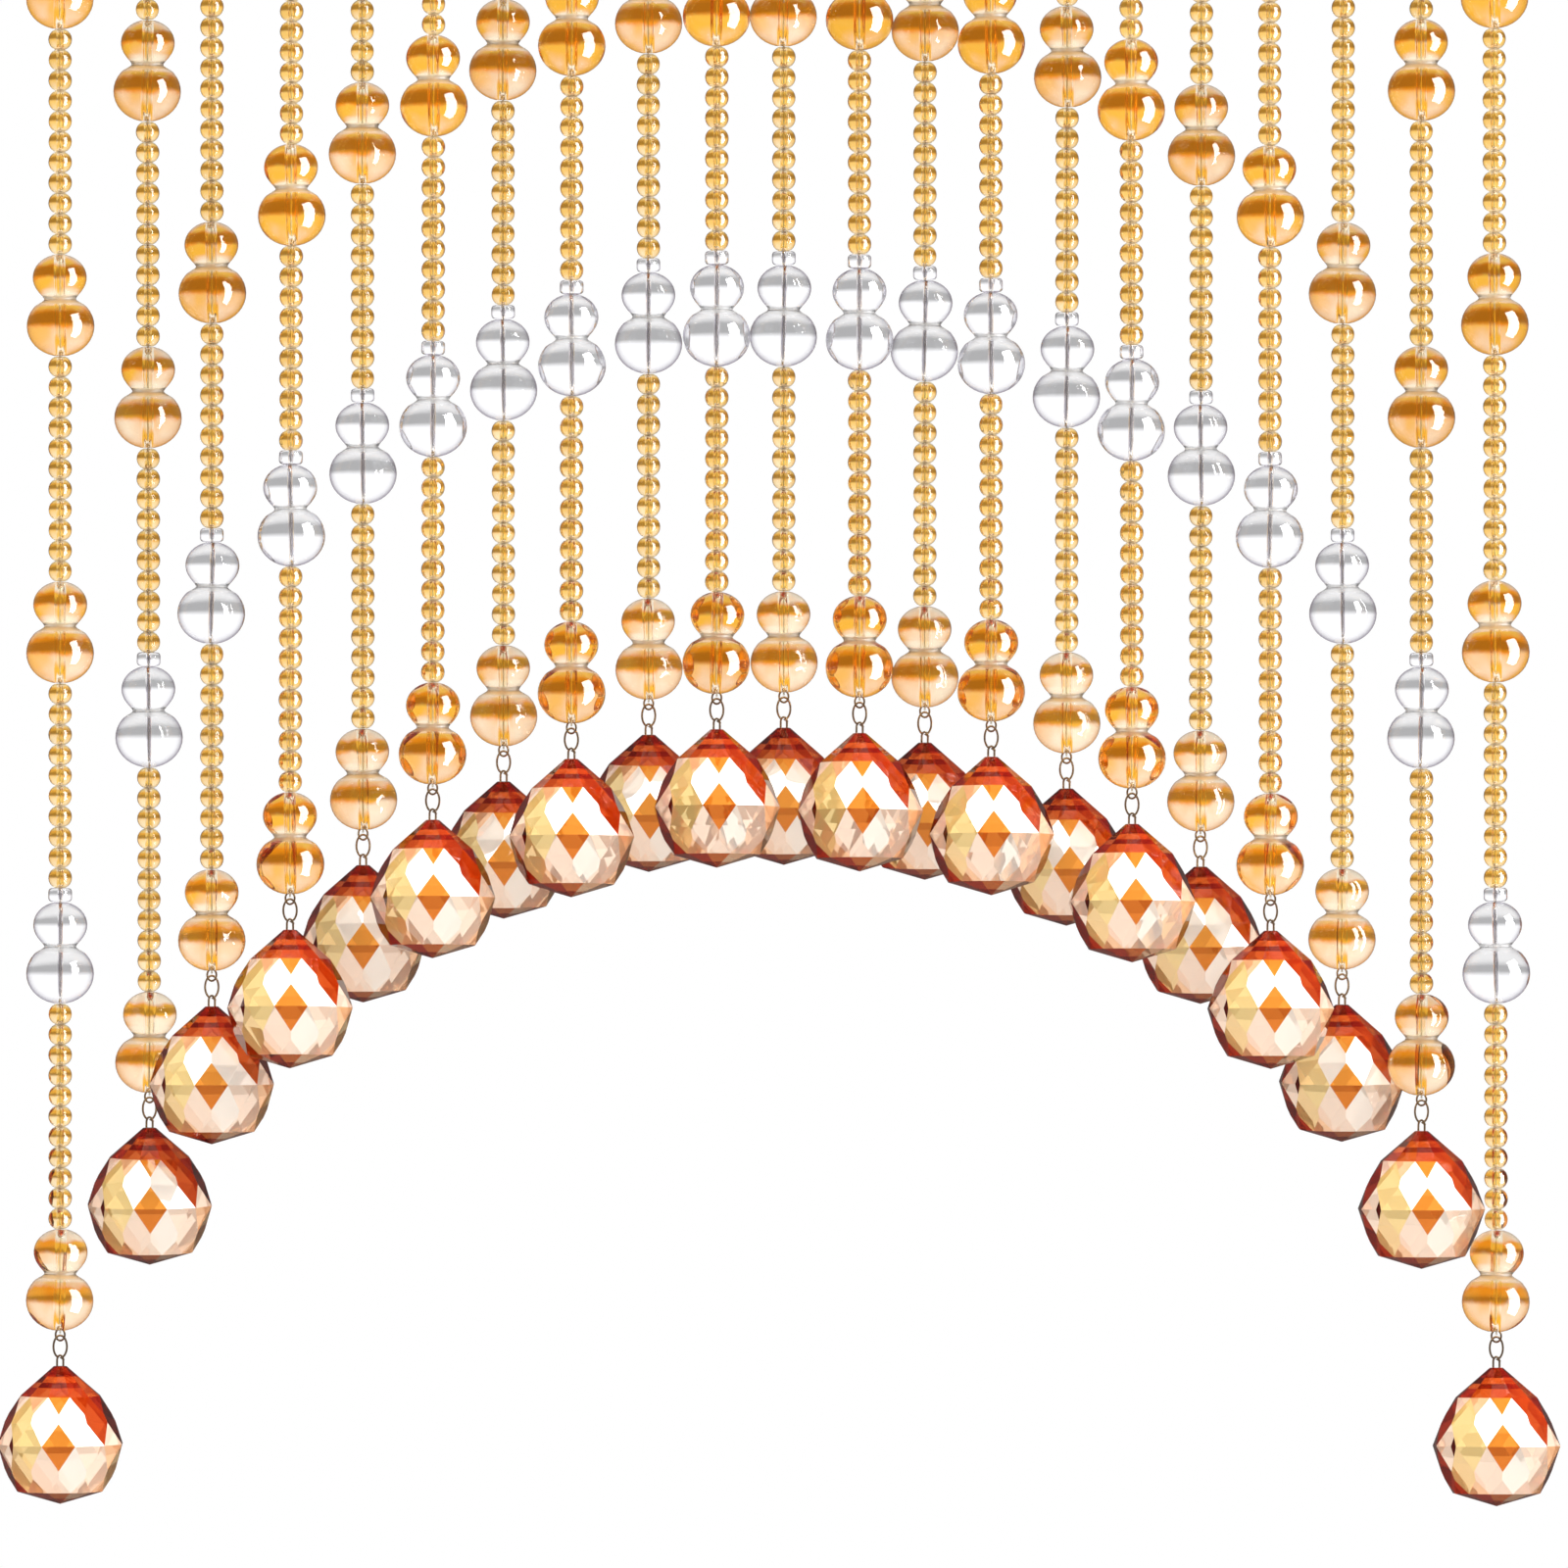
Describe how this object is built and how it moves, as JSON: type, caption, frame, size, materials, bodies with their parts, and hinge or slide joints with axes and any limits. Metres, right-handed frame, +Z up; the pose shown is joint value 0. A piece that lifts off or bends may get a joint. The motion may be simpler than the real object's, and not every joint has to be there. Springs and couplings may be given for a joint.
{
  "type": "bead curtain",
  "caption": "Arched curtain of glass bead strands hung from a woven heading tape, each strand ending in a faceted crystal ball.",
  "frame": {"origin": "middle of the heading tape's top edge", "axes": "+Z up, +X along the tape to the viewer's right, +Y away from the viewer through the curtain"},
  "size_m": [0.3754, 0.063, 0.4938],
  "materials": {
    "woven_tape": "woven ivory tape with stitched edges",
    "gold_glass": "champagne gold lustred glass, polished",
    "clear_glass": "colourless glass, polished",
    "amber_crystal": "amber cut crystal, polished facets",
    "brass_wire": "bright brass wire",
    "nylon_thread": "clear nylon thread"
  },
  "bodies": {
    "root": {"heading_tape": "woven_tape", "strand_01": "gold_glass", "strand_02": "gold_glass", "strand_03": "gold_glass", "strand_04": "gold_glass", "strand_05": "gold_glass", "strand_06": "gold_glass", "strand_07": "gold_glass", "strand_08": "gold_glass", "strand_09": "gold_glass", "strand_10": "gold_glass", "strand_11": "gold_glass", "strand_12": "gold_glass", "strand_13": "gold_glass", "strand_14": "gold_glass", "strand_15": "gold_glass", "strand_16": "gold_glass", "strand_17": "gold_glass", "strand_18": "gold_glass", "strand_19": "gold_glass", "strand_20": "gold_glass", "strand_21": "gold_glass", "crystal_ball_01": "amber_crystal", "crystal_ball_02": "amber_crystal", "crystal_ball_03": "amber_crystal", "crystal_ball_04": "amber_crystal", "crystal_ball_05": "amber_crystal", "crystal_ball_06": "amber_crystal", "crystal_ball_07": "amber_crystal", "crystal_ball_08": "amber_crystal", "crystal_ball_09": "amber_crystal", "crystal_ball_10": "amber_crystal", "crystal_ball_11": "amber_crystal", "crystal_ball_12": "amber_crystal", "crystal_ball_13": "amber_crystal", "crystal_ball_14": "amber_crystal", "crystal_ball_15": "amber_crystal", "crystal_ball_16": "amber_crystal", "crystal_ball_17": "amber_crystal", "crystal_ball_18": "amber_crystal", "crystal_ball_19": "amber_crystal", "crystal_ball_20": "amber_crystal", "crystal_ball_21": "amber_crystal"}
  },
  "joints": []
}
